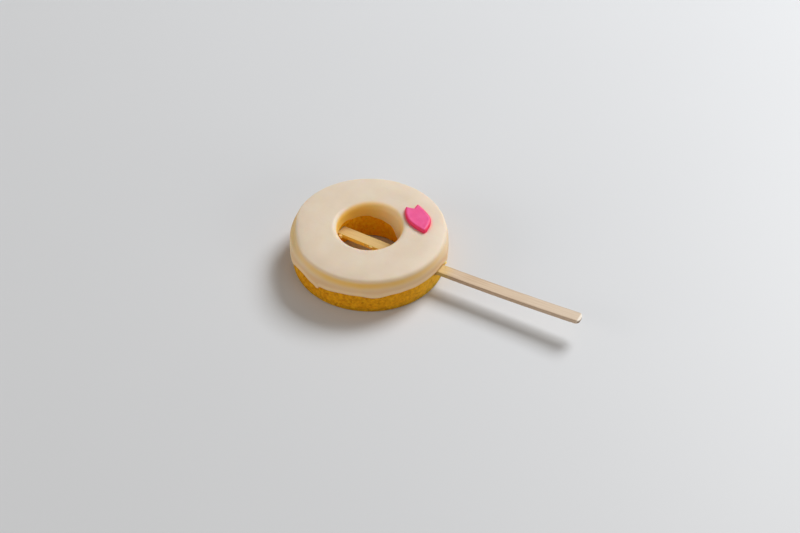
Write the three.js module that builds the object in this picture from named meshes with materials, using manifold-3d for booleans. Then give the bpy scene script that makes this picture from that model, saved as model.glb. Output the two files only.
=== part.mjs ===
// A small baumkuchen on a stick: a ring cake with a poured white icing, a pink petal
// of pressed sugar on top, and a flat wooden stick pushed in from the side.
// Millimetres, +Z up. The ring stands on z = 0, the stick points along +X, and the
// origin is under the middle of the whole length.

import * as THREE from 'three';
import { mergeVertices } from 'three/addons/utils/BufferGeometryUtils.js';
import Module from 'manifold-3d';

const wasm = await Module();
wasm.setup();

// ---------------------------------------------------------------- driving dimensions

const GAP = 0.3; // left between pieces that touch

// Ring, measured over the icing. Every arch is a wall, a fillet, a flat top, a fillet, a wall.
const ICED = { outer: 36, hole: 14.5, top: 20.3, outerFillet: 5.1, holeFillet: 3.1 };
const ICING_WALL = 0.8; // icing thickness on the walls
const ICING_TOP = 1.0; // icing thickness on the flat top
const BASE_EDGE = 1.0; // radius of the cake's lower edges
const RING_STEPS = 60;
const FILLET_STEPS = 2; // curve divisions: each quarter turn gets twice as many facets

// Lower edge of the icing: a level, less the sags that ran further down.
// Each sag has an azimuth and a spread in degrees, and a drop.
const OUTER_EDGE = {
  level: 10.5,
  sags: [
    { at: -136, spread: 11, drop: 3.6 },
    { at: -105.5, spread: 8, drop: 1.8 },
    { at: -92, spread: 6, drop: 0.9 },
    { at: -56, spread: 7, drop: 1.1 },
    { at: 20, spread: 8, drop: 1.6 },
    { at: 52, spread: 10, drop: 1.0 },
    { at: 90, spread: 8, drop: 2.1 },
    { at: 124, spread: 11, drop: 0.9 },
    { at: 162, spread: 9, drop: 2.5 },
    { at: 199, spread: 12, drop: 1.6 },
  ],
};
const HOLE_EDGE = {
  level: 13.4,
  sags: [
    { at: 52, spread: 15, drop: 6.8 },
    { at: 82, spread: 26, drop: 2.4 },
    { at: -38, spread: 14, drop: 1.2 },
    { at: -93, spread: 12, drop: 2.0 },
    { at: -138, spread: 10, drop: 0.8 },
  ],
};

// Stick. It bows gently upward towards both ends: its top is an arc whose lowest point
// lies where the stick leaves the ring.
// Lengths along the stick are counted from the ring's axis.
const STICK = {
  width: 5.5,
  thickness: 2.0,
  inner: -27, // end buried in the far wall
  tip: 104,
  offset: 0.83, // centre line, to the +Y side of the ring's axis
  bowRadius: 1190,
  bowLowest: 37,
  topAtLowest: 9.8,
  cornerRadius: 1.9,
  edgeBevel: 0.25,
};

// Petal. Its outline is drawn from the blunt base tip towards the notch.
const PETAL = {
  tip: { x: 24.1, y: 8.4 },
  turn: 138, // degrees, direction from base tip to notch
  thickness: 1.9,
  bevel: 0.6,
  lift: 0.1, // gap over the icing
};

// The whole length runs from the ring's far side to the stick's tip.
const RING_X = (ICED.outer - STICK.tip) / 2;

// ---------------------------------------------------------------- helpers

function weld(geometry) {
  geometry.deleteAttribute('normal');
  geometry.deleteAttribute('uv');
  return mergeVertices(geometry, 1e-4);
}

function toManifold(geometry) {
  const welded = weld(geometry);
  return new wasm.Manifold(
    new wasm.Mesh({
      numProp: 3,
      vertProperties: new Float32Array(welded.attributes.position.array),
      triVerts: new Uint32Array(welded.index.array),
    }),
  );
}

function toGeometry(manifold) {
  const mesh = manifold.getMesh();
  const geometry = new THREE.BufferGeometry();
  geometry.setAttribute('position', new THREE.BufferAttribute(mesh.vertProperties, 3));
  geometry.setIndex(new THREE.BufferAttribute(mesh.triVerts, 1));
  return geometry;
}

// Adds a wall-fillet-top-fillet-wall arch to a path that stands at the outer wall's foot.
function addArch(path, arch, holeFoot) {
  const { outer, hole, top, outerFillet, holeFillet } = arch;
  path.lineTo(outer, top - outerFillet);
  path.absarc(outer - outerFillet, top - outerFillet, outerFillet, 0, Math.PI / 2, false);
  path.lineTo(hole + holeFillet, top);
  path.absarc(hole + holeFillet, top - holeFillet, holeFillet, Math.PI / 2, Math.PI, false);
  path.lineTo(hole, holeFoot);
}

// The same arch, drawn from the hole's wall back to the outer wall.
function addArchBack(path, arch, outerFoot) {
  const { outer, hole, top, outerFillet, holeFillet } = arch;
  path.lineTo(hole, top - holeFillet);
  path.absarc(hole + holeFillet, top - holeFillet, holeFillet, Math.PI, Math.PI / 2, true);
  path.lineTo(outer - outerFillet, top);
  path.absarc(outer - outerFillet, top - outerFillet, outerFillet, Math.PI / 2, 0, true);
  path.lineTo(outer, outerFoot);
}

// An arch moved inwards by a wall and a top thickness.
function insetArch(arch, wall, top) {
  return {
    outer: arch.outer - wall,
    hole: arch.hole + wall,
    top: arch.top - top,
    outerFillet: arch.outerFillet - wall,
    holeFillet: arch.holeFillet - wall,
  };
}

// Turns a closed (radius, height) path around the Z axis. The path runs anticlockwise.
function revolve(path) {
  const points = path.getPoints(FILLET_STEPS);
  const profile = points.filter((point, i) => i === 0 || point.distanceTo(points[i - 1]) > 1e-6);
  profile[profile.length - 1].copy(profile[0]);
  const geometry = new THREE.LatheGeometry(profile, RING_STEPS);
  geometry.rotateX(Math.PI / 2);
  return weld(geometry);
}

function edgeHeight(edge, azimuth) {
  let height = edge.level;
  for (const sag of edge.sags) {
    const turn = THREE.MathUtils.euclideanModulo(azimuth - sag.at + 180, 360) - 180;
    height -= sag.drop * Math.exp(-((turn / sag.spread) ** 2));
  }
  return height;
}

function piece(name, geometry, color, roughness) {
  geometry.computeVertexNormals();
  const material = new THREE.MeshStandardMaterial({ color, roughness, metalness: 0 });
  const mesh = new THREE.Mesh(geometry, material);
  mesh.name = name;
  return mesh;
}

// ---------------------------------------------------------------- wooden stick

// The stick's solid about the ring's axis, grown by a margin on every side.
function stickSolid(margin) {
  const upperRadius = STICK.bowRadius - margin;
  const lowerRadius = STICK.bowRadius + STICK.thickness + margin;
  const centre = STICK.topAtLowest + STICK.bowRadius;
  const start = STICK.inner - margin;
  const end = STICK.tip + margin;
  const angle = (along) => Math.asin((along - STICK.bowLowest) / STICK.bowRadius) - Math.PI / 2;

  // Side view, a little longer than the stick, extruded across the width.
  const overrun = 2;
  const from = angle(start - overrun);
  const to = angle(end + overrun);
  const side = new THREE.Shape();
  side.absarc(STICK.bowLowest, centre, lowerRadius, from, to, false);
  side.absarc(STICK.bowLowest, centre, upperRadius, to, from, true);
  const width = STICK.width + 2 * margin;
  const band = new THREE.ExtrudeGeometry(side, {
    depth: width - 2 * STICK.edgeBevel,
    curveSegments: 10,
    bevelThickness: STICK.edgeBevel,
    bevelSize: STICK.edgeBevel,
    bevelOffset: -STICK.edgeBevel,
    bevelSegments: 1,
  });
  band.rotateX(Math.PI / 2);
  band.translate(0, STICK.offset + width / 2 - STICK.edgeBevel, 0);

  // Plan view with round corners, extruded through the full height.
  const half = width / 2;
  const r = STICK.cornerRadius;
  const plan = new THREE.Shape();
  plan.absarc(end - r, -half + r, r, -Math.PI / 2, 0, false);
  plan.absarc(end - r, half - r, r, 0, Math.PI / 2, false);
  plan.absarc(start + r, half - r, r, Math.PI / 2, Math.PI, false);
  plan.absarc(start + r, -half + r, r, Math.PI, Math.PI * 1.5, false);
  const column = new THREE.ExtrudeGeometry(plan, {
    depth: ICED.top,
    curveSegments: 4,
    bevelEnabled: false,
  });
  column.translate(0, STICK.offset, 0);

  return toManifold(band).intersect(toManifold(column));
}

function woodenStick() {
  return piece('wooden_stick', toGeometry(stickSolid(0)), 0xd9bf9c, 0.7);
}

// ---------------------------------------------------------------- cake ring

function cakeRing() {
  const arch = insetArch(ICED, ICING_WALL + GAP, ICING_TOP + GAP);
  const { outer, hole } = arch;
  const path = new THREE.Path();
  path.moveTo(hole + BASE_EDGE, 0);
  path.lineTo(outer - BASE_EDGE, 0);
  path.absarc(outer - BASE_EDGE, BASE_EDGE, BASE_EDGE, -Math.PI / 2, 0, false);
  addArch(path, arch, BASE_EDGE);
  path.absarc(hole + BASE_EDGE, BASE_EDGE, BASE_EDGE, Math.PI, Math.PI * 1.5, false);
  const slit = stickSolid(GAP);
  const cake = toManifold(revolve(path)).subtract(slit);
  return piece('cake_ring', toGeometry(cake), 0xb9801c, 0.85);
}

// ---------------------------------------------------------------- icing

function icingCoating() {
  const inside = insetArch(ICED, ICING_WALL, ICING_TOP);
  const lip = ICING_WALL / 2;
  const outerFoot = OUTER_EDGE.level;
  const holeFoot = HOLE_EDGE.level;
  const path = new THREE.Path();
  path.moveTo(inside.outer, outerFoot + lip);
  path.absarc(inside.outer + lip, outerFoot + lip, lip, Math.PI, Math.PI * 2, false);
  addArch(path, ICED, holeFoot + lip);
  path.absarc(ICED.hole + lip, holeFoot + lip, lip, Math.PI, Math.PI * 2, false);
  addArchBack(path, inside, outerFoot + lip);
  const geometry = revolve(path);

  // The lips at the feet of both walls follow the wavy edges.
  const position = geometry.attributes.position;
  const middle = (ICED.outer + ICED.hole) / 2;
  for (let i = 0; i < position.count; i++) {
    const x = position.getX(i);
    const y = position.getY(i);
    const edge = Math.hypot(x, y) > middle ? OUTER_EDGE : HOLE_EDGE;
    const z = position.getZ(i);
    if (z > edge.level + 2 * lip) continue;
    const azimuth = THREE.MathUtils.radToDeg(Math.atan2(y, x));
    position.setZ(i, z + edgeHeight(edge, azimuth) - edge.level);
  }
  return piece('icing_coating', geometry, 0xece0cc, 0.35);
}

// ---------------------------------------------------------------- petal

function petalOutline() {
  const shape = new THREE.Shape();
  shape.moveTo(0, 0);
  shape.bezierCurveTo(1.4, -2.4, 6.2, -5.3, 9.1, -5.3);
  shape.bezierCurveTo(11.9, -5.3, 15.2, -4.4, 16.7, -2.8);
  shape.lineTo(14.7, 0);
  shape.lineTo(16.9, 2.8);
  shape.bezierCurveTo(14.4, 3.9, 11.6, 5.2, 8.6, 5.2);
  shape.bezierCurveTo(4.0, 5.2, 0.4, 2.6, 0, 0);
  return shape;
}

function petalDecoration() {
  // Both faces get the bevel, then the lower half is cut away to leave a flat underside.
  const full = new THREE.ExtrudeGeometry(petalOutline(), {
    depth: 2 * (PETAL.thickness - PETAL.bevel),
    curveSegments: 6,
    bevelThickness: PETAL.bevel,
    bevelSize: PETAL.bevel,
    bevelOffset: -PETAL.bevel,
    bevelSegments: 3,
  });
  full.translate(0, 0, PETAL.bevel - PETAL.thickness);
  const below = new THREE.BoxGeometry(40, 40, 10);
  below.translate(8, 0, -5);
  const geometry = toGeometry(toManifold(full).subtract(toManifold(below)));
  const mesh = piece('petal_decoration', geometry, 0xf0459a, 0.5);
  mesh.rotation.z = THREE.MathUtils.degToRad(PETAL.turn);
  mesh.position.set(PETAL.tip.x, PETAL.tip.y, ICED.top + PETAL.lift);
  return mesh;
}

// ---------------------------------------------------------------- assembly

const baumkuchen = new THREE.Group();
baumkuchen.position.x = RING_X;
baumkuchen.add(cakeRing(), icingCoating(), petalDecoration(), woodenStick());

export default baumkuchen;
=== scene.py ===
"""The looks of a small iced baumkuchen on a wooden stick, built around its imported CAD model.

Lengths are in millimetres about the ring's axis and become metres when a mesh is made.
Angles round the ring are in degrees from +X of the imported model.
"""

import math

import bmesh
import bpy
import numpy as np
from mathutils import Matrix, Vector, noise


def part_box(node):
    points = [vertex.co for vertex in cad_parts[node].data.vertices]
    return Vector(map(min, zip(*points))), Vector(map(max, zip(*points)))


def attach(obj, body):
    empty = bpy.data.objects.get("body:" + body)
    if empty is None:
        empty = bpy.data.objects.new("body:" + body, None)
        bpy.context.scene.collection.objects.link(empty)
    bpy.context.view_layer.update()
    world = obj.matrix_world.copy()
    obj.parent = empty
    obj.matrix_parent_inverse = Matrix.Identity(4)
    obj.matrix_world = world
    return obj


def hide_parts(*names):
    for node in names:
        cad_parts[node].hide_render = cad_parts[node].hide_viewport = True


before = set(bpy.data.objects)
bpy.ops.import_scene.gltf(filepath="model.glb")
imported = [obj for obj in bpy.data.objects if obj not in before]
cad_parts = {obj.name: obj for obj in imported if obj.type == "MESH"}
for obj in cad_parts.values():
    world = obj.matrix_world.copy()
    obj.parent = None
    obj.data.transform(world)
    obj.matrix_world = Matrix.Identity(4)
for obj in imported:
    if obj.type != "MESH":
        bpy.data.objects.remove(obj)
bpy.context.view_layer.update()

# ---------------------------------------------------------------- driving dimensions

MM = 0.001

# The iced ring's section: walls, fillets and a flat top.
OUTER = 36.0
HOLE = 14.5
TOP = 20.3
HOLE_FILLET = 3.1
FULLNESS = 0.88  # 1 makes the hole's fillet round, less makes it fuller

# The icing's shoulder: curves from the upright wall, over a slanting face and a tight turn,
# to a gently crowned top. Each curve is four (radius, height) points.
SHOULDER = [
    ((36.0, 13.0), (36.0, 15.0), (35.55, 16.4), (35.2, 17.8)),
    ((35.2, 17.8), (34.98, 18.7), (34.7, 19.12), (33.9, 19.36)),
    ((33.9, 19.36), (31.8, 19.84), (28.8, 20.3), (25.5, 20.3)),
]

# The cake below the icing, and how far the icing's hidden face sinks into it.
CAKE_OUTER = 34.9
CAKE_HOLE = 15.6
CAKE_TOP = 18.9
CAKE_SHOULDER = [((34.9, 12.5), (34.9, 16.0), (34.2, 18.2), (29.5, 18.7))]
CAKE_HOLE_FILLET = 2.0
BASE_EDGE = 1.0
SUNK = 0.15

# The icing's lower edges: a level, less sags given as (azimuth, spread, drop).
OUTER_LEVEL = 10.5
OUTER_SAGS = [
    (-136, 11, 3.6),
    (-105.5, 8, 1.8),
    (-92, 6, 0.9),
    (-56, 7, 1.1),
    (9.5, 3.5, 1.5),
    (20, 8, 1.6),
    (52, 10, 1.0),
    (90, 8, 2.1),
    (124, 11, 0.9),
    (162, 9, 2.5),
    (199, 12, 1.6),
]
HOLE_LEVEL = 13.4
HOLE_SAGS = [
    (52, 15, 6.8),
    (82, 26, 2.4),
    (-38, 14, 1.2),
    (-93, 12, 2.0),
    (-138, 10, 0.8),
    (178, 20, -0.6),
]
NOTCH_AZIMUTH = -99.7  # where the outer edge steps up by about a millimetre
NOTCH_SPREAD = 2.6
NOTCH_DROP = 1.3

# The stick, with lengths along it counted from the ring's axis.
STICK_WIDTH = 5.5
STICK_THICKNESS = 2.0
STICK_INNER = -27.0
STICK_TIP = 104.0
STICK_OFFSET = 0.83
STICK_CORNER = 1.9
STICK_EDGE = 0.22
BOW_RADIUS = 1190.0
BOW_LOWEST = 37.0
BOW_TOP = 9.8

# The petal.
PETAL_TIP = (24.1, 8.4)
PETAL_TURN = 138.0
PETAL_THICKNESS = 1.9

# The ring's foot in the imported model's frame, in metres.
RING = Vector((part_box("icing_coating")[0].x + OUTER * MM, 0, 0))

# ---------------------------------------------------------------- small helpers


def smooth_step(low, high, value):
    """0 below low, 1 above high, and smooth between."""
    t = np.clip((value - low) / (high - low), 0, 1)
    return t * t * (3 - 2 * t)


def hump(value, middle, spread):
    """A bell curve: 1 at the middle, about a third one spread away."""
    return np.exp(-(((value - middle) / spread) ** 2))


def turn_between(azimuth, middle):
    """The signed turn from middle to azimuth, from -180 to 180 degrees."""
    return (azimuth - middle + 180) % 360 - 180


def around(azimuth, middle, spread):
    """A bell curve over the azimuth, as a column to multiply [azimuth, section] arrays by."""
    return hump(turn_between(azimuth, middle), 0, spread)[:, None]


def points_of(radius, height, azimuth):
    """Points in millimetres from arrays [azimuth, section]."""
    angle = np.radians(azimuth)[:, None]
    return np.stack([radius * np.cos(angle), radius * np.sin(angle), height], axis=-1)


def noise_field(points, size, seed):
    """Smooth noise, from about -1 to 1, with features of that size at each point."""
    shift = Vector((17.3 * seed, 5.1 * seed, 9.7 * seed))
    flat = points.reshape(-1, 3) / size
    values = [noise.noise(Vector(p) + shift) for p in flat]
    return np.array(values).reshape(points.shape[:-1])


def outer_edge(azimuth):
    """Height of the icing's outer lower edge."""
    height = np.full_like(azimuth, OUTER_LEVEL)
    for at, spread, drop in OUTER_SAGS:
        height -= drop * hump(turn_between(azimuth, at), 0, spread)
    past = turn_between(azimuth, NOTCH_AZIMUTH)
    height -= NOTCH_DROP * hump(past, -1.2, NOTCH_SPREAD) * (1 - smooth_step(-0.4, 0.5, past))
    wobble = 0.07 * np.sin(np.radians(azimuth * 19)) + 0.05 * np.sin(np.radians(azimuth * 31 + 40))
    return height + wobble


def hole_edge(azimuth):
    """Height of the icing's lower edge in the hole."""
    height = np.full_like(azimuth, HOLE_LEVEL)
    for at, spread, drop in HOLE_SAGS:
        height -= drop * hump(turn_between(azimuth, at), 0, spread)
    wobble = 0.14 * np.sin(np.radians(azimuth * 9 + 20)) + 0.1 * np.sin(np.radians(azimuth * 16))
    return height + wobble


def new_object(name, mesh, material):
    piece = bpy.data.objects.new(name, mesh)
    bpy.context.scene.collection.objects.link(piece)
    mesh.materials.append(material)
    mesh.shade_smooth()
    return piece


def mesh_about_ring(name, points, faces):
    """A mesh in metres in the model's frame, from points in millimetres about the ring."""
    mesh = bpy.data.meshes.new(name)
    moved = np.asarray(points, float).reshape(-1, 3) * MM + np.array(RING)
    mesh.from_pydata(moved.tolist(), [], faces)
    mesh.update()
    return mesh


def face_outward(mesh):
    shape = bmesh.new()
    shape.from_mesh(mesh)
    bmesh.ops.recalc_face_normals(shape, faces=shape.faces)
    if shape.calc_volume(signed=True) < 0:
        bmesh.ops.reverse_faces(shape, faces=shape.faces)
    shape.to_mesh(mesh)
    shape.free()


def torus_grid(name, radius, height, azimuth):
    """A closed mesh from a closed section: radius and height are arrays [azimuth, section]."""
    points = points_of(radius, height, azimuth)
    rows, columns = radius.shape
    index = np.arange(rows * columns).reshape(rows, columns)
    ahead = np.roll(index, -1, axis=0)
    beside = np.roll(index, -1, axis=1)
    across = np.roll(ahead, -1, axis=1)
    faces = np.stack([index, ahead, across, beside], axis=-1).reshape(-1, 4)
    mesh = mesh_about_ring(name, points, faces.tolist())
    face_outward(mesh)
    return mesh


def paint(mesh, name, values):
    """Stores a share from 0 to 1 at each vertex, for a material to read."""
    attribute = mesh.attributes.new(name, "FLOAT", "POINT")
    attribute.data.foreach_set("value", np.clip(values, 0, 1).astype(np.float32).ravel())


def finish_piece(piece, node):
    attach(piece, "root")
    if node:
        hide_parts(node)


# ---------------------------------------------------------------- materials


class Finish:
    """A material, with short calls that add nodes to it."""

    def __init__(self, name):
        self.material = bpy.data.materials.new(name)
        self.material.use_nodes = True
        self.tree = self.material.node_tree
        self.shader = self.tree.nodes["Principled BSDF"]
        place = self.node("ShaderNodeTexCoord").outputs["Object"]
        about = self.node("ShaderNodeVectorMath", operation="SUBTRACT")
        self.link(place, about.inputs[0])
        about.inputs[1].default_value = RING
        scaled = self.node("ShaderNodeVectorMath", operation="SCALE")
        self.link(about.outputs[0], scaled.inputs[0])
        scaled.inputs["Scale"].default_value = 1 / MM
        self.place = scaled.outputs[0]
        self.bump_normal = None

    def node(self, kind, **settings):
        made = self.tree.nodes.new(kind)
        for key, value in settings.items():
            setattr(made, key, value)
        return made

    def link(self, source, socket):
        self.tree.links.new(source, socket)

    def feed(self, socket, value):
        """Links a node's output to a socket, or sets the socket's own value."""
        if isinstance(value, bpy.types.NodeSocket):
            self.link(value, socket)
        else:
            socket.default_value = value

    def math(self, operation, first, second):
        made = self.node("ShaderNodeMath", operation=operation)
        self.feed(made.inputs[0], first)
        self.feed(made.inputs[1], second)
        return made.outputs[0]

    def stretched(self, x, y, z):
        """The place in millimetres, scaled along each axis."""
        made = self.node("ShaderNodeVectorMath", operation="MULTIPLY")
        self.link(self.place, made.inputs[0])
        made.inputs[1].default_value = (x, y, z)
        return made.outputs[0]

    def grains(self, size, detail=3.0, roughness=0.55, place=None):
        """Noise from 0 to 1 with features of that many millimetres."""
        made = self.node("ShaderNodeTexNoise")
        self.link(place or self.place, made.inputs["Vector"])
        made.inputs["Scale"].default_value = 1 / size
        made.inputs["Detail"].default_value = detail
        made.inputs["Roughness"].default_value = roughness
        return made.outputs["Fac"]

    def spread(self, value, low, high):
        """Turns low..high into 0..1."""
        made = self.node("ShaderNodeMapRange", clamp=True)
        self.feed(made.inputs["Value"], value)
        made.inputs["From Min"].default_value = low
        made.inputs["From Max"].default_value = high
        return made.outputs["Result"]

    def share(self, name):
        """A share that was painted on the mesh."""
        made = self.node("ShaderNodeAttribute", attribute_name=name)
        return made.outputs["Fac"]

    def mix(self, share, first, second, blend="MIX"):
        made = self.node("ShaderNodeMix", data_type="RGBA", blend_type=blend)
        self.feed(made.inputs[0], share)
        self.feed(made.inputs[6], first)
        self.feed(made.inputs[7], second)
        return made.outputs[2]

    def height(self):
        """Height above the ring's foot, in millimetres."""
        made = self.node("ShaderNodeSeparateXYZ")
        self.link(self.place, made.inputs[0])
        return made.outputs["Z"]

    def bump(self, height, depth):
        """Adds fine relief: depth in millimetres for a height of 1."""
        made = self.node("ShaderNodeBump")
        made.inputs["Strength"].default_value = 1.0
        made.inputs["Distance"].default_value = depth * MM
        self.feed(made.inputs["Height"], height)
        if self.bump_normal:
            self.link(self.bump_normal, made.inputs["Normal"])
        self.bump_normal = made.outputs["Normal"]

    def surface(
        self, color, roughness, ior=1.45, gloss=0.5, glow=0.0, glow_radius=(1, 1, 1), glow_depth=1.0
    ):
        """Connects colour, roughness and bump. glow is the share of light that travels
        below the surface, and glow_depth how far it goes, in millimetres."""
        self.feed(self.shader.inputs["Base Color"], color)
        self.feed(self.shader.inputs["Roughness"], roughness)
        self.shader.inputs["IOR"].default_value = ior
        self.shader.inputs["Specular IOR Level"].default_value = gloss
        self.shader.inputs["Subsurface Weight"].default_value = glow
        self.shader.inputs["Subsurface Radius"].default_value = glow_radius
        self.shader.inputs["Subsurface Scale"].default_value = glow_depth * MM
        if self.bump_normal:
            self.link(self.bump_normal, self.shader.inputs["Normal"])
        return self.material


def rgb(red, green, blue):
    return (red, green, blue, 1.0)


def icing_finish():
    """Poured white icing: cream, satin, a little translucent, golden where it is thin, with painted
    shade, painted light and a painted pink glow.
    """
    icing = Finish("icing_finish")
    clouds = icing.grains(9.0, 3.0, 0.5)
    cloudy = icing.spread(clouds, 0.35, 0.65)
    cream = icing.mix(cloudy, rgb(0.77, 0.645, 0.505), rgb(0.80, 0.68, 0.545))
    patchy = icing.math("ADD", 0.75, icing.math("MULTIPLY", clouds, 0.5))
    # thin: cake showing golden through thin icing, plus painted shade in the band below the shoulder.
    thin = icing.math("MULTIPLY", icing.share("thin"), patchy)
    golden = icing.mix(thin, cream, rgb(0.83, 0.51, 0.12))
    # Painted shade: the upright wall gets a darker, warmer icing colour, standing in for shade and
    # warm bounce light.
    color = icing.mix(icing.share("wall"), golden, rgb(0.74, 0.49, 0.265))
    # Gold in the hole: thin icing over the cake, plus painted shade and warm bounce away from the
    # light.
    color = icing.mix(icing.share("hole"), color, rgb(0.93, 0.555, 0.105))
    # pale: the lower bead's paler icing, and painted light on the hole's side towards the light.
    color = icing.mix(icing.share("pale"), color, rgb(0.93, 0.72, 0.46))
    # Painted pink glow round the petal: painted bounce light from it, in place of its contact shadow.
    pink_glow_share = icing.math("MULTIPLY", icing.share("pink_glow"), 0.7)
    color = icing.mix(pink_glow_share, color, rgb(0.94, 0.28, 0.33))
    ripples = icing.grains(2.4, 2.0)
    pits = icing.grains(0.5, 2.0)
    icing.bump(ripples, 0.03)
    icing.bump(pits, 0.012)
    satin = icing.math("ADD", 0.40, icing.math("MULTIPLY", icing.grains(1.6), 0.12))
    return icing.surface(
        color,
        satin,
        ior=1.42,
        gloss=0.35,
        glow=0.55,
        glow_radius=(1.0, 0.62, 0.32),
        glow_depth=2.0,
    )


def cake_finish():
    """Golden baked crumb, with thin brown growth rings where a layer's edge shows."""
    cake = Finish("cake_finish")
    coarse = cake.grains(1.7, 4.0, 0.62)
    fine = cake.grains(0.45, 3.0, 0.6)
    mottled = cake.spread(coarse, 0.36, 0.66)
    crumb = cake.mix(mottled, rgb(0.58, 0.225, 0.004), rgb(0.82, 0.385, 0.010))
    bright = cake.math("MULTIPLY", cake.spread(fine, 0.55, 0.75), 0.35)
    crumb = cake.mix(bright, crumb, rgb(0.90, 0.49, 0.02))
    # Painted light: the outer wall is painted paler and yellower on its side lit from the right.
    crumb = cake.mix(cake.share("painted_lit_side"), crumb, rgb(0.98, 0.60, 0.07))
    # The hole's wall is painted brighter and more orange: painted warm bounce light inside the hole.
    lit_lining = cake.mix(mottled, rgb(0.91, 0.365, 0.005), rgb(1.0, 0.565, 0.018))
    crumb = cake.mix(cake.share("inside"), crumb, lit_lining)
    # The pores' dark colour is painted shade in their pits.
    pores = cake.math("MULTIPLY", cake.share("pore"), 0.32)
    crumb = cake.mix(pores, crumb, rgb(0.34, 0.10, 0.001))

    # The cut underside is paler, with the layers' brown skins in it.
    pale = cake.mix(cake.spread(coarse, 0.3, 0.7), rgb(0.84, 0.57, 0.19), rgb(0.92, 0.68, 0.27))
    layers = cake.mix(cake.share("layer"), pale, rgb(0.47, 0.20, 0.035))
    color = cake.mix(cake.share("under"), crumb, layers)

    # The outer wall darkens towards its foot.
    ragged_height = cake.math("ADD", cake.height(), cake.math("MULTIPLY", coarse, 2.5))
    low = cake.spread(ragged_height, 4.6, 2.0)
    elsewhere = cake.math("MAXIMUM", cake.share("under"), cake.share("inside"))
    outside = cake.math("SUBTRACT", 1.0, elsewhere)
    dark = cake.mix(1.0, color, rgb(0.66, 0.74, 0.9), "MULTIPLY")
    color = cake.mix(cake.math("MULTIPLY", low, outside), color, dark)
    cake.bump(coarse, 0.22)
    cake.bump(fine, 0.12)
    rough = cake.math("ADD", 0.72, cake.math("MULTIPLY", fine, 0.2))
    return cake.surface(
        color,
        rough,
        ior=1.4,
        gloss=0.12,
        glow=0.25,
        glow_radius=(1.0, 0.45, 0.1),
        glow_depth=1.5,
    )


def crumb_finish():
    """Loose crumbs of the pale inner cake, painted paler still as painted light so they read lit in
    shade.
    """
    crumb = Finish("crumb_finish")
    coarse = crumb.grains(0.5, 3.0, 0.6)
    mottled = crumb.spread(coarse, 0.35, 0.65)
    # Painted light: paler than the cake's own inside.
    color = crumb.mix(mottled, rgb(0.90, 0.58, 0.13), rgb(1.0, 0.80, 0.36))
    crumb.bump(coarse, 0.1)
    return crumb.surface(
        color,
        0.6,
        ior=1.42,
        gloss=0.3,
        glow=0.4,
        glow_radius=(1.0, 0.6, 0.25),
        glow_depth=1.0,
    )


def petal_finish():
    """Pressed pink sugar: fine grains, a painted highlight on the rim, sides painted dark crimson as
    painted shade, soft light inside.
    """
    petal = Finish("petal_finish")
    sugar = petal.grains(0.28, 2.0, 0.6)
    clouds = petal.grains(2.6, 2.0)
    cloudy = petal.spread(clouds, 0.3, 0.7)
    pink = petal.mix(cloudy, rgb(0.86, 0.075, 0.285), rgb(0.92, 0.11, 0.345))
    grainy = petal.math("MULTIPLY", petal.spread(sugar, 0.55, 0.8), 0.35)
    pink = petal.mix(grainy, pink, rgb(0.95, 0.22, 0.45))
    # Painted highlight: the rim is painted paler.
    rim_highlight = petal.math("MULTIPLY", petal.share("rim"), 0.3)
    color = petal.mix(rim_highlight, pink, rgb(0.95, 0.17, 0.40))
    # Painted shade: the sides are painted dark crimson.
    color = petal.mix(petal.share("side"), color, rgb(0.86, 0.026, 0.125))
    petal.bump(sugar, 0.05)
    rough = petal.math("ADD", 0.42, petal.math("MULTIPLY", sugar, 0.2))
    return petal.surface(
        color,
        rough,
        ior=1.45,
        glow=0.45,
        glow_radius=(1.0, 0.15, 0.3),
        glow_depth=1.6,
    )


def stick_finish():
    """Pale birch: straight grain, small pores, a stain where it touches the cake, and painted light,
    shade and highlight.
    """
    stick = Finish("stick_finish")
    along = stick.stretched(0.035, 1.0, 1.0)
    grain = stick.grains(0.55, 4.0, 0.6, along)
    bands = stick.grains(2.1, 2.0, 0.5, along)
    fibres = stick.grains(0.16, 2.0, 0.6, stick.stretched(0.02, 1.0, 1.0))
    grained = stick.spread(grain, 0.3, 0.7)
    wood = stick.mix(grained, rgb(0.60, 0.435, 0.285), rgb(0.78, 0.625, 0.465))
    banded = stick.math("MULTIPLY", stick.spread(bands, 0.45, 0.75), 0.45)
    wood = stick.mix(banded, wood, rgb(0.61, 0.435, 0.285))
    pores = stick.math("MULTIPLY", stick.spread(fibres, 0.60, 0.78), 0.35)
    wood = stick.mix(pores, wood, rgb(0.42, 0.26, 0.14))

    # Fat from the cake tints the wood, and the share "soaked" goes further: fat soaked in, plus
    # painted light on the side faces.
    tinted = stick.mix(1.0, wood, rgb(1.0, 0.92, 0.57), "MULTIPLY")
    stained = stick.mix(0.3, tinted, rgb(0.95, 0.69, 0.28))
    color = stick.mix(stick.share("stain"), wood, stained)
    color = stick.mix(stick.share("dry"), color, rgb(0.80, 0.69, 0.57))
    # Painted shade: the side faces outside the ring are painted darker and greyer.
    sawn = stick.mix(1.0, color, rgb(0.71, 0.65, 0.61), "MULTIPLY")
    color = stick.mix(stick.share("sawn"), color, sawn)
    # soaked: fat soaked into the wood, plus painted light brightening the side faces in the hole.
    color = stick.mix(stick.share("soaked"), color, rgb(0.97, 0.80, 0.24))
    color = stick.mix(stick.share("end"), color, rgb(0.36, 0.27, 0.20))
    # Painted highlight: the tip's bevel is painted pale.
    color = stick.mix(stick.share("bevel_highlight"), color, rgb(0.95, 0.87, 0.76))
    stick.bump(grain, 0.05)
    stick.bump(fibres, 0.03)
    rough = stick.math("ADD", 0.55, stick.math("MULTIPLY", grain, 0.2))
    return stick.surface(color, rough, gloss=0.35)


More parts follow.
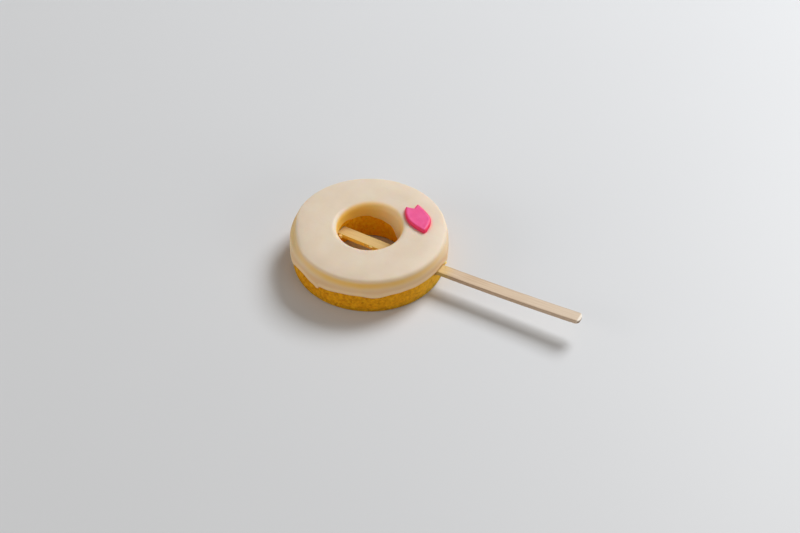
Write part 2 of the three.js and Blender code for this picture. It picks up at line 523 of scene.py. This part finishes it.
def floor_finish():
    """The plain pale floor."""
    floor = Finish("floor_finish")
    tone = floor.spread(floor.grains(160.0, 2.0), 0.2, 0.8)
    color = floor.mix(tone, rgb(0.69, 0.706, 0.73), rgb(0.70, 0.716, 0.74))
    return floor.surface(color, 0.5)


# ---------------------------------------------------------------- cake

CAKE_STEPS = 600
WALL_ROWS = 46
UNDER_ROWS = 96
LAYER_PITCH = 1.32  # one baked layer
BASE_EDGE_STEPS = 5
RELIEF_TOP = 14.5  # the walls' relief fades out above this, under the icing
# Painted light: where the outer wall's lit side is painted paler.
LIT_SIDE_AZIMUTH = 5  # the outer wall is paler about here
LIT_SIDE_SPREAD = 28

# The slit for the stick, which ends blind in the cake at the stick's inner end.
SLIT_STATIONS = 64
SLIT_BLIND_GAP = 0.3
SLIT_PAST_WALL = 4
SLIT_CORNER = 0.5
SLIT_WIDTH = STICK_WIDTH + 0.24
SLIT_HEIGHT = STICK_THICKNESS + 0.2
SLIT_WIDER = 0.75  # more room low on one side, where the stick comes out


def bezier(curve, steps):
    """Points along a curve of four points, without its last one."""
    points = []
    for t in np.linspace(0, 1, steps, endpoint=False):
        s = 1 - t
        weights = np.array([s**3, 3 * s * s * t, 3 * s * t * t, t**3])
        points.append(weights @ np.array(curve))
    return points


def arch_section(shoulder, hole, top, hole_fillet, outer_foot, hole_foot, rows):
    """An open arch from the outer wall's foot, over the top, to the hole wall's foot.
    The feet are arrays by azimuth. rows gives the points of each of its five stretches."""
    wall, curve_steps, flat, inner_fillet, inner_wall = rows
    turns = outer_foot.shape[0]
    outer, wall_top = shoulder[0][0]
    top_start, start_height = shoulder[-1][-1]
    radius = []
    height = []
    for share in np.linspace(0, 1, wall, endpoint=False):
        radius.append(np.full(turns, outer))
        height.append(outer_foot + share * (wall_top - outer_foot))
    for curve in shoulder:
        for r, z in bezier(curve, curve_steps):
            radius.append(np.full(turns, r))
            height.append(np.full(turns, z))
    for share in np.linspace(0, 1, flat, endpoint=False):
        radius.append(np.full(turns, top_start + share * (hole + hole_fillet - top_start)))
        height.append(np.full(turns, start_height + share * (top - start_height)))
    for angle in np.linspace(math.pi / 2, 0, inner_fillet, endpoint=False):
        radius.append(np.full(turns, hole + hole_fillet * (1 - math.cos(angle) ** FULLNESS)))
        height.append(np.full(turns, top - hole_fillet * (1 - math.sin(angle) ** FULLNESS)))
    for share in np.linspace(0, 1, inner_wall):
        radius.append(np.full(turns, hole))
        height.append(top - hole_fillet + share * (hole_foot - top + hole_fillet))
    return np.stack(radius, axis=1), np.stack(height, axis=1)


def underside_section():
    """From the hole's lower edge to the outer one, with both edges rounded."""
    radius = []
    height = []
    quarter = np.linspace(0, math.pi / 2, BASE_EDGE_STEPS)
    for angle in quarter[1:]:
        radius.append(CAKE_HOLE + BASE_EDGE * (1 - math.cos(angle)))
        height.append(BASE_EDGE * (1 - math.sin(angle)))
    flat = np.linspace(CAKE_HOLE + BASE_EDGE, CAKE_OUTER - BASE_EDGE, UNDER_ROWS)[1:]
    radius.extend(flat)
    height.extend(np.zeros(len(flat)))
    for angle in quarter[-2:0:-1]:
        radius.append(CAKE_OUTER - BASE_EDGE * (1 - math.cos(angle)))
        height.append(BASE_EDGE * (1 - math.sin(angle)))
    return np.array(radius), np.array(height)


def cake_ring(material):
    """The baked ring: walls of crumb with open pores, and growth rings underneath."""
    azimuth = np.arange(CAKE_STEPS) * 360 / CAKE_STEPS
    foot = np.full(CAKE_STEPS, BASE_EDGE)
    rows = (WALL_ROWS, 8, 6, 4, WALL_ROWS)
    radius, height = arch_section(
        CAKE_SHOULDER, CAKE_HOLE, CAKE_TOP, CAKE_HOLE_FILLET, foot, foot, rows
    )
    under_radius, under_height = underside_section()
    ones = np.ones((CAKE_STEPS, 1))
    radius = np.concatenate([radius, ones * under_radius], axis=1)
    height = np.concatenate([height, ones * under_height], axis=1)

    # Relief: soft unevenness, crumb, and small open pores. Walls move along the radius.
    points = points_of(radius, height, azimuth)
    swell = noise_field(points, 11.0, 1)
    crumb = noise_field(points, 1.9, 2)
    grit = noise_field(points, 0.8, 3)
    holes = noise_field(points, 1.25, 4)
    pore = smooth_step(0.30, 0.62, holes)
    relief = 0.16 * swell + 0.11 * crumb + 0.07 * grit - 0.27 * pore
    middle = (CAKE_OUTER + CAKE_HOLE) / 2
    outward = np.where(radius > middle, 1.0, -1.0)
    on_wall = smooth_step(0.1, 1.0, height) * (1 - smooth_step(RELIEF_TOP, RELIEF_TOP + 1.5, height))
    radius = radius + outward * relief * on_wall

    # Growth rings: every layer's baked skin stands a little proud of the paler crumb.
    angle = np.radians(azimuth)[:, None]
    ripple = 0.34 * np.sin(2 * angle + 1.1) + 0.2 * np.sin(5 * angle + 0.4) + 0.22 * swell
    layer_place = (radius - CAKE_HOLE + ripple + 0.12 * crumb) / LAYER_PITCH
    across = np.abs(layer_place - np.round(layer_place))
    layer = 1 - smooth_step(0.05, 0.2, across)
    under = 1 - smooth_step(0.05, 0.7, height)
    in_pore = 0.5 * pore + 0.25 * np.clip(grit, 0, 1)
    sunken = (1 - layer) * 0.16 + in_pore * 0.35
    settled = smooth_step(CAKE_HOLE + 0.5, CAKE_HOLE + 2, radius)
    settled = settled * (1 - smooth_step(CAKE_OUTER - 2, CAKE_OUTER - 0.5, radius))
    height = height + under * settled * sunken + (1 - settled) * under * 0.02

    mesh = torus_grid("cake_mesh", radius, height, azimuth)
    inside = np.where(radius < middle, 1 - under, 0.0)
    outer_wall = np.where(radius > middle, 1 - under, 0.0)
    # pore: open pores, painted dark as painted shade in their pits.
    paint(mesh, "pore", pore * (1 - 0.5 * under) * (1 - 0.4 * inside))
    paint(mesh, "layer", layer)
    paint(mesh, "under", under)
    # inside also carries painted bounce light in the hole.
    paint(mesh, "inside", inside)
    # Painted light on the outer wall's lit side.
    paint(mesh, "painted_lit_side", 0.55 * (around(azimuth, LIT_SIDE_AZIMUTH, LIT_SIDE_SPREAD) * outer_wall))
    piece = new_object("cake", mesh, material)
    cut_slit(piece)
    finish_piece(piece, "cake_ring")
    return piece


def bow_height(along):
    """Height of the stick's top face."""
    return BOW_TOP + BOW_RADIUS - np.sqrt(BOW_RADIUS**2 - (along - BOW_LOWEST) ** 2)


def section_loop(half_width, half_height, corner, steps):
    """A closed rectangle with round corners, as (across, up) pairs."""
    loop = []
    for quarter in range(4):
        side_x = 1 if quarter in (0, 3) else -1
        side_y = 1 if quarter in (0, 1) else -1
        for step in range(steps + 1):
            turn = math.pi / 2 * (quarter + step / steps)
            x = side_x * (half_width - corner) + corner * math.cos(turn)
            y = side_y * (half_height - corner) + corner * math.sin(turn)
            loop.append((x, y))
    return loop


def cut_slit(piece):
    """Opens the cake where the stick goes: ragged, and wider low on one side of its way out."""
    stations = np.linspace(STICK_INNER - SLIT_BLIND_GAP, OUTER + SLIT_PAST_WALL, SLIT_STATIONS)
    loop = np.array(section_loop(SLIT_WIDTH / 2, SLIT_HEIGHT / 2, SLIT_CORNER, 3))
    points = np.zeros((len(stations), len(loop), 3))
    points[:, :, 0] = stations[:, None]
    points[:, :, 1] = STICK_OFFSET + loop[None, :, 0]
    points[:, :, 2] = loop[None, :, 1] + bow_height(stations)[:, None] - STICK_THICKNESS / 2
    ragged = noise_field(points, 1.6, 5)
    grow = 0.10 + 0.12 * ragged
    low_side = np.clip(-loop[:, 0] / 2.7, 0, 1) * np.clip(0.3 - loop[:, 1], 0, 1)
    at_exit = smooth_step(32.5, 34.5, stations)
    grow = grow + SLIT_WIDER * low_side[None, :] * at_exit[:, None]
    away = loop / np.linalg.norm(loop, axis=1)[:, None]
    points[:, :, 1] += away[None, :, 0] * grow
    points[:, :, 2] += away[None, :, 1] * grow
    mesh = tube_mesh("slit_cutter", points)
    cutter = bpy.data.objects.new("slit_cutter", mesh)
    bpy.context.scene.collection.objects.link(cutter)
    cut = piece.modifiers.new("slit", "BOOLEAN")
    cut.operation = "DIFFERENCE"
    cut.solver = "MANIFOLD"
    cut.object = cutter
    bake_modifiers(piece)
    bpy.data.objects.remove(cutter)


def tube_mesh(name, points):
    """A closed tube from rings of points [station, turn], with a flat cap at each end."""
    stations, turns, _ = points.shape
    faces = []
    for station in range(stations - 1):
        here = station * turns
        ahead = here + turns
        for j in range(turns):
            k = (j + 1) % turns
            faces.append((here + j, here + k, ahead + k, ahead + j))
    faces.append(tuple(range(turns)))
    last = (stations - 1) * turns
    faces.append(tuple(last + j for j in reversed(range(turns))))
    mesh = mesh_about_ring(name, points, faces)
    face_outward(mesh)
    return mesh


def bake_modifiers(piece):
    """Replaces the piece's mesh by what its modifiers make of it."""
    graph = bpy.context.evaluated_depsgraph_get()
    made = bpy.data.meshes.new_from_object(piece.evaluated_get(graph), depsgraph=graph)
    piece.modifiers.clear()
    piece.data = made


# ---------------------------------------------------------------- the petal's outline

PETAL_CURVE_STEPS = 10
PETAL_CURVES = [
    ((-0.25, 0.15), (0.3, -1.0), (2.6, -3.1), (4.6, -4.2)),
    ((4.6, -4.2), (5.6, -4.75), (6.6, -5.1), (7.8, -5.1)),
    ((7.8, -5.1), (10.6, -5.0), (14.6, -4.0), (17.6, -2.85)),
    ((17.6, -2.85), (16.9, -2.0), (16.1, -1.2), (15.3, -0.4)),
    ((15.3, -0.4), (16.0, 0.7), (16.8, 1.7), (17.6, 2.6)),
    ((17.6, 2.6), (15.8, 4.15), (12.0, 5.3), (8.4, 4.9)),
    ((8.4, 4.9), (5.7, 4.5), (2.0, 2.4), (0.1, 1.25)),
    ((0.1, 1.25), (-0.2, 1.0), (-0.4, 0.5), (-0.25, 0.15)),
]


def about_ring(outline):
    """Turns and moves an outline from the petal's own frame to the ring's."""
    turn = math.radians(PETAL_TURN)
    x = PETAL_TIP[0] + outline[:, 0] * math.cos(turn) - outline[:, 1] * math.sin(turn)
    y = PETAL_TIP[1] + outline[:, 0] * math.sin(turn) + outline[:, 1] * math.cos(turn)
    return np.stack([x, y], axis=1)


def petal_outline():
    """Points round the petal, drawn from its base tip towards the notch."""
    outline = []
    for curve in PETAL_CURVES:
        outline.extend(bezier(curve, PETAL_CURVE_STEPS))
    return np.array(outline)


def distance_to_outline(points, outline):
    """Distance in the plane from each point to the closed outline."""
    start = outline[None, :, :]
    step = np.roll(outline, -1, axis=0)[None, :, :] - start
    gap = points[:, None, :] - start
    share = (gap * step).sum(-1) / (step**2).sum(-1)
    nearest = gap - np.clip(share, 0, 1)[:, :, None] * step
    return np.sqrt((nearest**2).sum(-1)).min(axis=1)


# ---------------------------------------------------------------- icing

ICING_STEPS = 600
LIP_STEPS = 8

# Where the stick pushed the icing out, and where the shoulder is rounder than elsewhere.
PUSHED_AZIMUTH = 11
PUSHED_SPREAD = 6
PUSHED_OUT = 0.65
ROUNDER_AZIMUTH = -147
ROUNDER_SPREAD = 23
ROUNDER_IN = 1.35
ROUNDER_DOWN = 0.55
# The golden band is partly cake showing through thin icing and partly painted shade.
BAND_HEIGHT = 16.8  # the middle of the golden band below the shoulder
# The pink round the petal is a painted glow of light bounced from it.
PINK_GLOW_REACH = 0.8  # how far the petal's pink creeps into the icing


def lip(start_radius, end_radius, edge):
    """The rounded lower edge of the icing, from the cake's face round to the outside."""
    middle = (start_radius + end_radius) / 2
    size = abs(end_radius - start_radius) / 2
    side = 1 if end_radius > start_radius else -1
    radius = []
    height = []
    for turn in np.linspace(0, math.pi, LIP_STEPS, endpoint=False):
        radius.append(np.full(edge.shape, middle - side * size * math.cos(turn)))
        height.append(edge + size * (1 - math.sin(turn)))
    return np.stack(radius, axis=1), np.stack(height, axis=1)


def icing_section(low, hole_low):
    """The icing's closed section as radius and height, and which of its points show."""
    inner_outer = CAKE_OUTER - SUNK
    inner_hole = CAKE_HOLE + SUNK
    lip_height = (OUTER - inner_outer) / 2
    foot = low + lip_height
    hole_foot = hole_low + lip_height
    inner_shoulder = [tuple((r - SUNK, z - SUNK) for r, z in curve) for curve in CAKE_SHOULDER]

    lip_radius, lip_z = lip(inner_outer, OUTER, low)
    arch_radius, arch_z = arch_section(
        SHOULDER, HOLE, TOP, HOLE_FILLET, foot, hole_foot, (12, 16, 20, 14, 12)
    )
    end_radius, end_z = lip(HOLE, inner_hole, hole_low)
    back_radius, back_z = arch_section(
        inner_shoulder, inner_hole, CAKE_TOP - SUNK, CAKE_HOLE_FILLET, foot, hole_foot, (3, 8, 5, 4, 3)
    )
    radius = np.concatenate([lip_radius, arch_radius, end_radius, back_radius[:, ::-1]], axis=1)
    height = np.concatenate([lip_z, arch_z, end_z, back_z[:, ::-1]], axis=1)
    shown = np.ones(radius.shape[1])
    shown[-back_radius.shape[1] :] = 0
    return radius, height, shown


def icing_coating(material):
    """The icing: its section goes round the ring, is made uneven, and gets its shares."""
    azimuth = np.arange(ICING_STEPS) * 360 / ICING_STEPS
    low = outer_edge(azimuth)
    hole_low = hole_edge(azimuth)
    radius, height, shown = icing_section(low, hole_low)
    middle = (OUTER + HOLE) / 2
    outer_side = radius > middle
    on_outer_side = np.where(outer_side, 1.0, 0.0)
    above = np.where(outer_side, height - low[:, None], height - hole_low[:, None])

    # A thicker bead above the edge, fuller where the icing ran down.
    ran = np.clip((OUTER_LEVEL - low) / 4, 0, 1)[:, None]
    bead = hump(above, 0.95, 0.9) * np.where(outer_side, 0.10 + 0.10 * ran, -0.10)
    radius = radius + bead * shown

    # The stick pushed the icing out a little on the far side of its way out.
    pushed = around(azimuth, PUSHED_AZIMUTH, PUSHED_SPREAD) * hump(height, 11.0, 4.0)
    radius = radius + PUSHED_OUT * on_outer_side * pushed * shown

    # The shoulder is rounder on the side away from the light.
    rounder = around(azimuth, ROUNDER_AZIMUTH, ROUNDER_SPREAD)
    over_turn = on_outer_side * shown * smooth_step(15.0, 18.3, height)
    height = height - ROUNDER_DOWN * rounder * over_turn * smooth_step(30.0, 35.0, radius)
    radius = radius - ROUNDER_IN * rounder * over_turn * smooth_step(32.0, 34.8, radius)

    # Slow waves in the poured surface.
    points = points_of(radius, height, azimuth)
    waves = noise_field(points, 13.0, 6)
    ripples = noise_field(points, 4.5, 7)
    on_top = smooth_step(17.5, 20.0, height)
    height = height + shown * on_top * (0.10 * waves + 0.03 * ripples - 0.06)
    sideways = np.where(outer_side, 1.0, -1.0) * (1 - on_top) * smooth_step(0.2, 2.5, above)
    radius = radius + shown * sideways * (0.08 * waves + 0.04 * ripples)

    mesh = torus_grid("icing_mesh", radius, height, azimuth)
    thin, pale_edge = outer_shares(azimuth, radius, height, above, rounder)
    # Painted shade: where the upright wall takes its darker, warmer icing colour.
    upright = smooth_step(34.5, 35.9, radius) * (1 - smooth_step(13.0, 16.5, height))

    # In the hole: golden where the icing is thinner, reaching higher on the side away from the light
    # as painted shade and warm bounce, and painted paler on the side towards the light as painted
    # light.
    away_from_light = around(azimuth, 100, 62)
    in_hole = 1 - smooth_step(14.6, 15.2 + 2.9 * away_from_light, radius)
    hole = (1 - on_outer_side) * in_hole
    lit_hole_side = 0.8 * around(azimuth, 60, 45) * hole

    # Painted pink glow: fades with distance from the petal's outline.
    gap = distance_to_outline(points.reshape(-1, 3)[:, :2], about_ring(petal_outline()))
    pink_glow = hump(gap.reshape(radius.shape), 0, PINK_GLOW_REACH)
    # The hole's part of pale is painted light.
    paint(mesh, "pale", np.maximum(0.45 * pale_edge * on_outer_side * shown, lit_hole_side))
    # thin carries painted shade as well as thin icing.
    paint(mesh, "thin", thin * on_outer_side * shown)
    paint(mesh, "pink_glow", on_top * shown * pink_glow)
    paint(mesh, "wall", upright * on_outer_side * shown)
    paint(mesh, "hole", hole * shown)
    piece = new_object("icing", mesh, material)
    finish_piece(piece, "icing_coating")
    return piece


def outer_shares(azimuth, radius, height, above, rounder):
    """Where the cake shows golden through thin icing, with painted shade in the band below the
    shoulder, and how pale its lower bead is.
    """
    band = BAND_HEIGHT + 1.1 * around(azimuth, -135, 45)
    shoulder = hump(height, band, np.where(height > band, 1.5, 3.0 + 1.2 * rounder))
    shoulder = shoulder * smooth_step(33.9 - 1.6 * rounder, 34.9 - 1.2 * rounder, radius)
    # The band is painted weaker on the side facing the light: painted shade.
    facing_light = around(azimuth, 40, 60)
    thicker = around(azimuth, -118, 22)
    shoulder = shoulder * (1 - 0.75 * facing_light) * (1 - 0.3 * thicker) * (1 - 0.3 * rounder)
    near_edge = 0.3 * hump(above, 0.5, 0.5)
    by_stick = around(azimuth, 6, 6) * (1 - smooth_step(9.5, 14.0, height))
    thin = np.maximum(np.maximum(shoulder, near_edge), by_stick)
    return thin, hump(above, 1.5, 1.1)


# ---------------------------------------------------------------- petal

PETAL_BLOCK = 1.6  # height of the block that is smoothed into the petal
PETAL_VOXEL = 0.16
PETAL_ROUND = 1.4  # how far in from the outline the upper edge is rounded
PETAL_SUNK = 0.12
PETAL_DISH = 0.07
PETAL_GROWTH = np.array([1.025, 1.03, 1.0])  # makes up for what the smoothing takes off
PETAL_BACK = np.array([0.2, 0.0, 0.0])  # and keeps the base tip in place


def petal_decoration(material):
    """The petal: a block of its outline, meshed evenly, softened and then shaped."""
    outline = petal_outline()
    count = len(outline)
    low = [(x, y, 0.0) for x, y in outline]
    high = [(x, y, PETAL_BLOCK) for x, y in outline]
    faces = [tuple(reversed(range(count))), tuple(range(count, 2 * count))]
    for i in range(count):
        k = (i + 1) % count
        faces.append((i, k, count + k, count + i))
    block = bpy.data.meshes.new("petal_block")
    block.from_pydata(low + high, [], faces)
    piece = new_object("petal", block, material)
    remesh = piece.modifiers.new("even_mesh", "REMESH")
    remesh.mode = "VOXEL"
    remesh.voxel_size = PETAL_VOXEL
    smooth = piece.modifiers.new("soften", "SMOOTH")
    smooth.iterations = 3
    smooth.factor = 0.5
    bake_modifiers(piece)

    # The block's upright share becomes the petal's rounded, slightly dished height.
    mesh = piece.data
    place = np.array([v.co for v in mesh.vertices]) * PETAL_GROWTH - PETAL_BACK
    span = place[:, 2].max() - place[:, 2].min()
    level = (place[:, 2] - place[:, 2].min()) / span
    grown = outline * PETAL_GROWTH[:2] - PETAL_BACK[:2]
    inset = distance_to_outline(place[:, :2], grown)
    rounding = np.sqrt(np.clip(1 - (1 - np.clip(inset / PETAL_ROUND, 0, 1)) ** 2, 0, 1))
    rim = hump(inset, 1.05, 0.4)
    dish = PETAL_DISH * (1 - rim) * smooth_step(0.6, 1.8, inset)
    sugar = noise_field(place, 0.55, 8)
    crest = PETAL_THICKNESS * (0.48 + 0.52 * rounding) - dish + 0.03 * sugar
    z = TOP - PETAL_SUNK + level * (crest + PETAL_SUNK)
    moved = np.column_stack([about_ring(place[:, :2]), z]) * MM + np.array(RING)
    mesh.vertices.foreach_set("co", moved.ravel())
    mesh.update()
    face_outward(mesh)
    # rim: also where the painted highlight goes.
    paint(mesh, "rim", rim * level)
    # side: where the painted shade goes.
    paint(mesh, "side", 1 - smooth_step(0.15, 1.0, inset))
    mesh.shade_smooth()
    finish_piece(piece, "petal_decoration")
    return piece


# ---------------------------------------------------------------- stick

STICK_STATIONS = 330
TIP_CHAMFER = 0.9
TIP_BEVEL = 0.42
CORNER_STEPS = 4
FACE_PARTS = 12  # parts across the upper and lower faces
EDGE_PARTS = 4  # parts up each edge


def dense_loop(loop):
    """Adds points along the flat stretches between a section's round corners."""
    dense = []
    for i, (x, y) in enumerate(loop):
        next_x, next_y = loop[(i + 1) % len(loop)]
        parts = 1
        if i % (CORNER_STEPS + 1) == CORNER_STEPS:
            parts = FACE_PARTS if abs(next_x - x) > abs(next_y - y) else EDGE_PARTS
        for k in range(parts):
            dense.append((x + (next_x - x) * k / parts, y + (next_y - y) * k / parts))
    return dense


def stick_points():
    """Sections along the bowed slat, narrowed by the round corners at its ends."""
    length = STICK_TIP - STICK_INNER
    middle = (STICK_TIP + STICK_INNER) / 2
    ends = 1 - np.cos(np.linspace(0, math.pi / 2, 12))
    inner = STICK_INNER + STICK_CORNER * ends[:-1]
    outer = STICK_TIP - STICK_CORNER * ends[::-1]
    body = np.linspace(STICK_INNER + STICK_CORNER, STICK_TIP - STICK_CORNER, STICK_STATIONS)
    stations = np.concatenate([inner, body[:-1], outer])
    rings = []
    for s in stations:
        past = max(0.0, abs(s - middle) - (length / 2 - STICK_CORNER))
        cut = STICK_CORNER - math.sqrt(max(0.0, STICK_CORNER**2 - past**2))
        half_width = STICK_WIDTH / 2 - cut
        from_end = min(s - STICK_INNER, STICK_TIP - s)
        bevel = TIP_BEVEL * (1 - min(1.0, from_end / TIP_CHAMFER))
        half_height = STICK_THICKNESS / 2 - bevel / 2
        corner = min(STICK_EDGE, half_height * 0.9)
        loop = section_loop(half_width, half_height, corner, CORNER_STEPS)
        centre = bow_height(s) - STICK_THICKNESS / 2 - bevel / 2
        rings.append([(s, STICK_OFFSET + a, centre + b) for a, b in dense_loop(loop)])
    return np.array(rings)


def wooden_stick(material):
    """The stick, with grain in its faces, stains where it touches the cake, and painted light, shade
    and highlight.
    """
    points = stick_points()

    # Straight grain leaves shallow grooves, and the sawn edges are not quite even.
    stretched = points * np.array([0.05, 1.0, 1.0])
    grooves = noise_field(stretched, 0.5, 9)
    sawn = noise_field(points * np.array([0.2, 0.0, 0.0]), 1.0, 10)
    side = np.sign(points[:, :, 1] - STICK_OFFSET)
    points[:, :, 2] += 0.025 * grooves
    points[:, :, 1] += 0.05 * sawn * side
    mesh = tube_mesh("stick_mesh", points)

    # The cake's fat stains the wood inside the ring and just past its way out. The side faces also get
    # painted light in the hole and painted shade outside it, and the tip's bevel a painted highlight.
    along = points[:, :, 0]
    creep = 1.2 * noise_field(stretched, 0.9, 11)
    stain = 1 - smooth_step(36.0, 44.0, along + creep)
    across = points[:, :, 1] - STICK_OFFSET
    edge = smooth_step(0.85, 0.98, np.abs(across) / (STICK_WIDTH / 2))
    in_hole = 1 - smooth_step(15.0, 22.0, along)
    above = points[:, :, 2] - bow_height(along)
    chamfer_start = STICK_TIP - TIP_CHAMFER
    near_tip = smooth_step(chamfer_start - 0.1, chamfer_start + 0.2, along)
    near_walls = smooth_step(10.0, 17.0, np.abs(along + creep))
    # Painted light: the side faces in the hole are painted bright gold, and turned gold just past the
    # way out over the fat stain.
    soaked = in_hole * (0.8 * edge + 0.12 * near_walls)
    paint(mesh, "stain", stain)
    paint(mesh, "soaked", soaked + (1 - in_hole) * 0.3 * edge * stain)
    # sawn: painted shade on the side faces outside the ring.
    paint(mesh, "sawn", edge * (1 - in_hole) * (1 - near_tip))
    paint(mesh, "dry", 0.45 * smooth_step(50.0, 100.0, along + 4 * creep))
    # Painted highlight on the tip's bevel.
    paint(mesh, "bevel_highlight", near_tip * smooth_step(-0.75, -0.5, above))
    paint(mesh, "end", near_tip * (1 - smooth_step(-0.85, -0.6, above)))
    piece = new_object("stick", mesh, material)
    finish_piece(piece, "wooden_stick")
    return piece


# ---------------------------------------------------------------- crumbs

# Loose crumbs, as (along the stick, across it, height, size, stretch along the stick).
CRUMBS = [
    (-13.7, -2.5, 9.9, 1.25, 0.85),
    (-14.4, -1.6, 8.9, 0.85, 1.0),
    (1.8, -2.2, 9.7, 0.62, 2.0),
    (-0.9, -2.0, 9.7, 0.36, 1.4),
    (36.1, 4.9, 9.9, 1.0, 0.75),
    (35.4, -2.5, 8.2, 0.30, 0.9),
    (37.8, 2.2, 10.0, 0.18, 1.2),
    (39.6, -0.8, 9.95, 0.15, 1.1),
]


def loose_crumbs(material):
    """Irregular crumbs pushed out where the stick goes through the cake."""
    points = []
    faces = []
    for number, (along, across, height, size, stretch) in enumerate(CRUMBS):
        shape = bmesh.new()
        bmesh.ops.create_icosphere(shape, subdivisions=3, radius=1.0)
        first = len(points)
        for vertex in shape.verts:
            way = vertex.co.normalized()
            lump = 1 + 0.32 * noise.noise(way * 1.5 + Vector((number * 3.1, 0, 0)))
            lump += 0.14 * noise.noise(way * 4.0 + Vector((0, number * 2.3, 0)))
            points.append((
                along + way.x * size * lump * stretch,
                across + way.y * size * lump,
                height + way.z * size * lump * 0.8,
            ))
        faces.extend([[first + v.index for v in face.verts] for face in shape.faces])
        shape.free()
    mesh = mesh_about_ring("crumb_mesh", points, faces)
    face_outward(mesh)
    piece = new_object("loose_crumbs", mesh, material)
    finish_piece(piece, None)
    return piece


# ---------------------------------------------------------------- camera, floor and light

VIEW_AZIMUTH = 27.38
VIEW_ELEVATION = 43.35
VIEW_ROLL = 1.12
VIEW_DISTANCE = 689.7
RING_RIGHT = -14.13  # where the ring's foot stands from the middle of the view
RING_UP = 3.57
LENS = 67.5
SENSOR = 36.0
FLOOR_SIZE = 6  # metres

# Square soft lights that face the ring, as (name, azimuth, elevation, distance and size
# in metres, power, colour).
LIGHTS = [
    ("key", 74.8, 44.7, 1.7, 0.735, 25.2, (0.985, 1.0, 1.02)),
    ("left_fill", -133.0, 12.0, 2.4, 1.6, 23.0, (1.0, 0.955, 0.9)),
    ("right_fill", -12.6, 12.0, 2.4, 1.4, 14.5, (1.0, 0.965, 0.92)),
]
ROOM_COLOR = (1.0, 0.93, 0.83)
ROOM_STRENGTH = 0.222


def add_camera():
    """A long lens that looks down on the ring and stick, rolled a little."""
    azimuth = math.radians(VIEW_AZIMUTH)
    elevation = math.radians(VIEW_ELEVATION)
    roll = math.radians(VIEW_ROLL)
    level = math.cos(elevation)
    back = Vector((math.sin(azimuth) * level, -math.cos(azimuth) * level, math.sin(elevation)))
    flat_right = Vector((math.cos(azimuth), math.sin(azimuth), 0))
    flat_up = back.cross(flat_right)
    right = math.cos(roll) * flat_right + math.sin(roll) * flat_up
    up = math.cos(roll) * flat_up - math.sin(roll) * flat_right
    place = RING - MM * (RING_RIGHT * right + RING_UP * up - VIEW_DISTANCE * back)
    settings = bpy.data.cameras.new("camera")
    settings.lens = LENS
    settings.sensor_width = SENSOR
    camera = bpy.data.objects.new("camera", settings)
    bpy.context.scene.collection.objects.link(camera)
    facing = Matrix((right, up, back)).transposed().to_4x4()
    camera.matrix_world = Matrix.Translation(place) @ facing
    bpy.context.scene.camera = camera


def add_floor(material):
    bpy.ops.mesh.primitive_plane_add(size=FLOOR_SIZE, location=(0, 0, 0))
    floor = bpy.context.object
    floor.name = "floor"
    floor.data.materials.append(material)


def add_area_light(name, azimuth, elevation, distance, size, power, color):
    turn = math.radians(azimuth)
    rise = math.radians(elevation)
    level = math.cos(rise)
    way = Vector((math.cos(turn) * level, math.sin(turn) * level, math.sin(rise)))
    settings = bpy.data.lights.new(name, "AREA")
    settings.shape = "SQUARE"
    settings.size = size
    settings.energy = power
    settings.color = color
    lamp = bpy.data.objects.new(name, settings)
    bpy.context.scene.collection.objects.link(lamp)
    lamp.location = RING + way * distance
    lamp.rotation_mode = "QUATERNION"
    lamp.rotation_quaternion = way.to_track_quat("Z", "Y")


def add_surroundings():
    world = bpy.data.worlds.new("world")
    world.use_nodes = True
    background = world.node_tree.nodes["Background"]
    background.inputs["Color"].default_value = rgb(*ROOM_COLOR)
    background.inputs["Strength"].default_value = ROOM_STRENGTH
    bpy.context.scene.world = world
    bpy.context.scene.view_settings.view_transform = "Standard"


# ---------------------------------------------------------------- assembly

add_camera()
add_floor(floor_finish())
for light in LIGHTS:
    add_area_light(*light)
add_surroundings()

cake_ring(cake_finish())
icing_coating(icing_finish())
petal_decoration(petal_finish())
wooden_stick(stick_finish())
loose_crumbs(crumb_finish())
